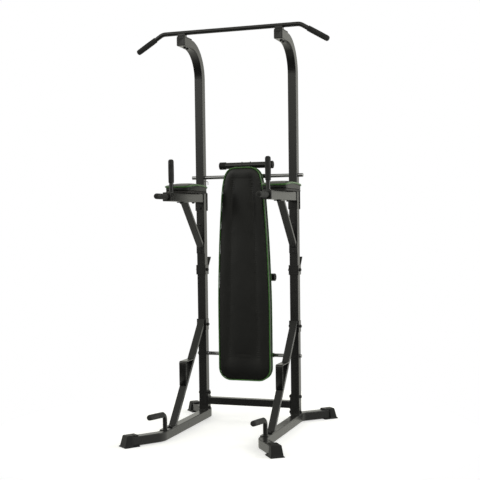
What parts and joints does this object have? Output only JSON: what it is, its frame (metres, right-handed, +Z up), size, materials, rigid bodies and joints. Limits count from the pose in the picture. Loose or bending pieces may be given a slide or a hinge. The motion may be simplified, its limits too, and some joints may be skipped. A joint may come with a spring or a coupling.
{
  "type": "power tower",
  "caption": "Free-standing power tower with pull-up bar, dip arms and elbow pads, push-up handles, barbell hooks and a bench that folds down to the rear.",
  "frame": {"origin": "centre of the bounding box on the floor, under the middle of the tower", "axes": "+X to the tower's right as seen from the front, +Y to its rear, +Z up; the user stands at -Y"},
  "size_m": [1.155, 1.1482, 2.2897],
  "materials": {
    "frame_black": "semi-gloss powder coat",
    "fasteners": "black oxide",
    "bright_rod": "polished",
    "grip_foam": "matte foam",
    "boot_rubber": "matte",
    "cap_plastic": "matte",
    "pad_vinyl": "satin vinyl with green piping",
    "board": "stained plywood"
  },
  "bodies": {
    "tower": {"arm_L": "frame_black", "arm_R": "frame_black", "arm_bolts": "fasteners", "arm_clamp_plates": "frame_black", "arm_end_caps": "cap_plastic", "arm_pad_L": "pad_vinyl", "arm_pad_R": "pad_vinyl", "arm_pad_boards": "board", "arm_strut_L": "frame_black", "arm_strut_R": "frame_black", "bar_mounts": "frame_black", "barbell_hook_L": "frame_black", "barbell_hook_R": "frame_black", "base_tube_L": "frame_black", "base_tube_R": "frame_black", "crossbar_bolts": "fasteners", "dip_grip_L": "grip_foam", "dip_grip_R": "grip_foam", "dip_handle_L": "frame_black", "dip_handle_R": "frame_black", "foot_cap_front_L": "boot_rubber", "foot_cap_front_R": "boot_rubber", "foot_cap_rear_L": "boot_rubber", "foot_cap_rear_R": "boot_rubber", "front_strut_L": "frame_black", "front_strut_R": "frame_black", "hinge_axle": "bright_rod", "hook_bolts": "fasteners", "lower_crossbar": "frame_black", "lower_upright_L": "frame_black", "lower_upright_R": "frame_black", "mount_bolts": "fasteners", "pin_clip": "bright_rod", "pullup_bar": "frame_black", "pullup_grip_L": "grip_foam", "pullup_grip_R": "grip_foam", "pushup_grip_L": "grip_foam", "pushup_grip_R": "grip_foam", "pushup_handle_L": "frame_black", "pushup_handle_R": "frame_black", "step_L": "frame_black", "step_R": "frame_black", "strut_bolts": "fasteners", "upper_upright_L": "frame_black", "upper_upright_R": "frame_black", "upright_end_caps": "cap_plastic", "upright_spigots": "frame_black", "vertical_grip_L": "grip_foam", "vertical_grip_R": "grip_foam", "vertical_handle_L": "frame_black", "vertical_handle_R": "frame_black"},
    "bench": {"bench_frame": "frame_black", "bench_board": "board", "bench_pad": "pad_vinyl", "bench_end_caps": "boot_rubber", "leg_pivot_bolt": "fasteners"},
    "leg": {"leg_frame": "frame_black", "leg_end_caps": "boot_rubber"},
    "lock_pin_left": {"lock_pin_L": "bright_rod"},
    "lock_pin_right": {"lock_pin_R": "bright_rod"}
  },
  "joints": [
    {"name": "bench_fold", "type": "hinge", "parent": "tower", "child": "bench", "pos_m": [0, 0.305, 0.402], "axis": [-1, 0, 0], "range_deg": [0, 90]},
    {"name": "leg_fold", "type": "hinge", "parent": "bench", "child": "leg", "pos_m": [0, 0.345, 1.201], "axis": [1, 0, 0], "range_deg": [0, 90]},
    {"name": "lock_pin_left_pull", "type": "slide", "parent": "tower", "child": "lock_pin_left", "axis": [-1, 0, 0], "range_m": [0, 0.14]},
    {"name": "lock_pin_right_pull", "type": "slide", "parent": "tower", "child": "lock_pin_right", "axis": [1, 0, 0], "range_m": [0, 0.14]}
  ]
}
